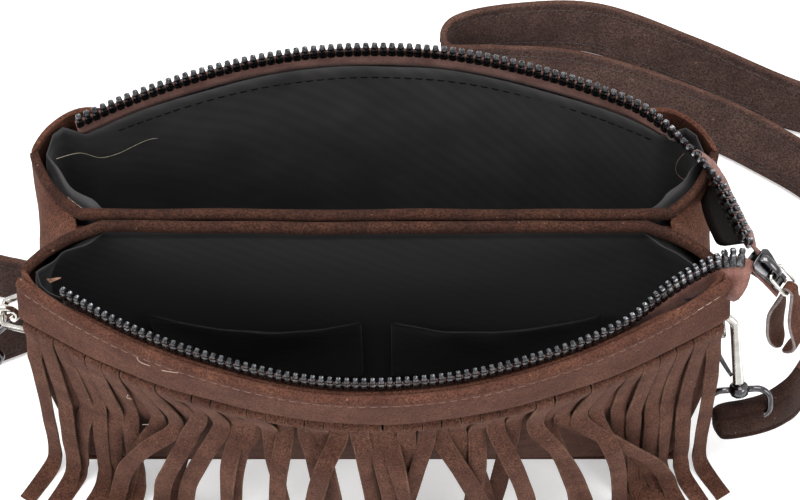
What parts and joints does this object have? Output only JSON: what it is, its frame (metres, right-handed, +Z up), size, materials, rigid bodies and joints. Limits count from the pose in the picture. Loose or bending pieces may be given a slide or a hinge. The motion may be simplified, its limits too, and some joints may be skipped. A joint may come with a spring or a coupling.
{
  "type": "fringed suede bag",
  "caption": "Small suede crossbody bag with two pouches, a zip over the open mouth, a fringed front and a long strap clipped to side rings.",
  "frame": {"origin": "centre of the base's underside", "axes": "+Z up, +X to the right seen from the fringed front, -Y out of the front"},
  "size_m": [0.4566, 0.3397, 0.1668],
  "materials": {
    "brown_suede": "brushed suede nap",
    "black_lining": "black twill",
    "zip_tape": "woven zip tape",
    "gunmetal": "dark nickel plating",
    "nickel": "polished nickel plating"
  },
  "bodies": {
    "bag": {"base_panel": "brown_suede", "rear_panel": "brown_suede", "front_panel": "brown_suede", "side_gusset_right": "brown_suede", "side_gusset_left": "brown_suede", "divider_wall_rear": "brown_suede", "divider_wall_front": "brown_suede", "rear_lining": "black_lining", "front_lining": "black_lining", "slip_pocket_left": "black_lining", "slip_pocket_right": "black_lining", "front_band": "brown_suede", "fringe": "brown_suede", "zip_side_rear": "zip_tape", "zip_side_front": "zip_tape", "slider": "gunmetal", "zip_bottom_stop": "gunmetal", "ring_tab_left": "brown_suede", "ring_tab_right": "brown_suede", "hook_eye_left": "gunmetal", "hook_eye_right": "gunmetal", "strap": "brown_suede"},
    "pull_link": {"pull_link": "nickel"},
    "pull_tab": {"pull_tab": "brown_suede"},
    "ring_left": {"ring_left": "nickel"},
    "ring_right": {"ring_right": "nickel"},
    "hook_left": {"hook_body_left": "nickel"},
    "hook_right": {"hook_body_right": "nickel"},
    "gate_left": {"hook_gate_left": "gunmetal"},
    "gate_right": {"hook_gate_right": "gunmetal"}
  },
  "joints": [
    {"name": "link_swing", "type": "hinge", "parent": "bag", "child": "pull_link", "pos_m": [0.13647, -0.02138, 0.16106], "axis": [0.5736, 0.8192, 0], "range_deg": [-165, 1]},
    {"name": "tab_swing", "type": "hinge", "parent": "pull_link", "child": "pull_tab", "pos_m": [0.14239, -0.02553, 0.1552], "axis": [0.5736, 0.8192, 0], "range_deg": [-60, 14]},
    {"name": "ring_swing_left", "type": "hinge", "parent": "bag", "child": "ring_left", "pos_m": [-0.126, 0, 0.078], "axis": [0, 1, 0], "range_deg": [-4, 1]},
    {"name": "ring_swing_right", "type": "hinge", "parent": "bag", "child": "ring_right", "pos_m": [0.126, 0, 0.078], "axis": [0, 1, 0], "range_deg": [0, 2]},
    {"name": "hook_swivel_left", "type": "hinge", "parent": "bag", "child": "hook_left", "pos_m": [-0.15704, -0.00354, 0.04974], "axis": [0.3601, 0.12, 0.9252], "range_deg": [-18, 17]},
    {"name": "hook_swivel_right", "type": "hinge", "parent": "bag", "child": "hook_right", "pos_m": [0.14153, -0.01769, 0.04102], "axis": [-0.1299, 0.5997, 0.7896], "range_deg": [-3, 22]},
    {"name": "gate_press_left", "type": "hinge", "parent": "hook_left", "child": "gate_left", "pos_m": [-0.15215, -0.00272, 0.05513], "axis": [-0.0435, 0.9928, -0.1119], "range_deg": [-20, 0], "stiffness_Nm_per_rad": 0.002, "springref_deg": 11.46},
    {"name": "gate_press_right", "type": "hinge", "parent": "hook_right", "child": "gate_right", "pos_m": [0.13807, -0.01359, 0.046], "axis": [0.0974, 0.8002, -0.5917], "range_deg": [0, 20], "stiffness_Nm_per_rad": 0.002, "springref_deg": -11.46}
  ]
}
